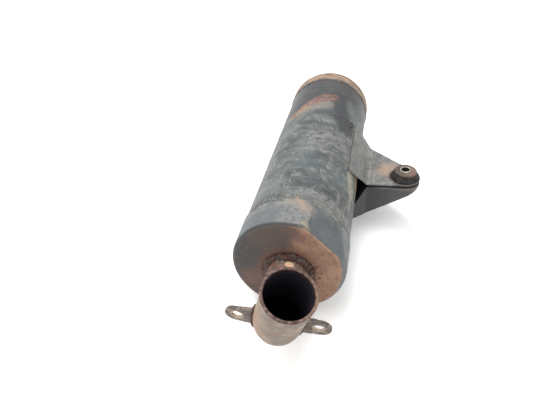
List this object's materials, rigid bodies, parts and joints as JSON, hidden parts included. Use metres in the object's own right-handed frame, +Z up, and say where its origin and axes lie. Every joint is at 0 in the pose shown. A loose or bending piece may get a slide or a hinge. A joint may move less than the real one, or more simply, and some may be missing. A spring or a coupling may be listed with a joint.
{
  "type": "exhaust muffler",
  "caption": "Round motorcycle muffler with a bent inlet pipe, drilled ears beside its mouth and a welded side bracket with a rubber bush.",
  "frame": {"origin": "centre of the tail pipe's open end, on the can's axis", "axes": "+Y along the can's axis in the direction the gas leaves, +X towards the side bracket, +Z up, on the side the inlet pipe bends to"},
  "size_m": [0.177, 0.4686, 0.1315],
  "materials": {
    "shell_paint": "matt black paint, faded and scratched",
    "front_cap_paint": "matt black paint turning to surface rust",
    "rear_cap_paint": "rusted paint",
    "seam_weld_steel": "painted weld",
    "pipe_steel": "bare mild steel, stained and rusty",
    "mouth_steel": "rusty bare steel",
    "weld_steel": "rusty weld metal",
    "lug_steel": "stained mild steel",
    "bracket_paint": "matt black paint, faded, rusty at the tip",
    "bracket_weld_steel": "painted weld",
    "housing_steel": "rusty steel ring",
    "bush_rubber": "hard rubber, dusty",
    "collar_steel": "plated steel, worn bright",
    "inner_steel": "sooty steel",
    "core_steel": "sooty steel",
    "packing_wool": "glass wool",
    "tail_steel": "rusty steel"
  },
  "bodies": {
    "muffler": {"body_shell": "shell_paint", "front_cap": "front_cap_paint", "rear_cap": "rear_cap_paint", "front_seam_weld": "seam_weld_steel", "rear_seam_weld": "seam_weld_steel", "inlet_stub": "pipe_steel", "inlet_bend": "pipe_steel", "inlet_riser": "pipe_steel", "mouth_ring": "mouth_steel", "inlet_weld": "weld_steel", "left_lug": "lug_steel", "right_lug": "lug_steel", "left_lug_weld": "weld_steel", "right_lug_weld": "weld_steel", "bracket_upper": "bracket_paint", "bracket_lower": "bracket_paint", "bracket_upper_weld": "bracket_weld_steel", "channel_front_weld": "bracket_weld_steel", "channel_rear_weld": "bracket_weld_steel", "bush_housing": "housing_steel", "rubber_bush": "bush_rubber", "front_baffle": "inner_steel", "middle_baffle": "inner_steel", "rear_baffle": "inner_steel", "core_tube": "core_steel", "front_transfer_tube": "inner_steel", "rear_transfer_tube": "inner_steel", "outlet_tube": "inner_steel", "core_packing": "packing_wool", "tail_pipe": "tail_steel", "tail_weld": "weld_steel"},
    "collar": {"bush_collar": "collar_steel"}
  },
  "joints": [
    {"name": "collar_turn", "type": "hinge", "parent": "muffler", "child": "collar", "pos_m": [0.10524, -0.2013, 0.00736], "axis": [-0.0698, 0, 0.9976], "continuous": true}
  ]
}
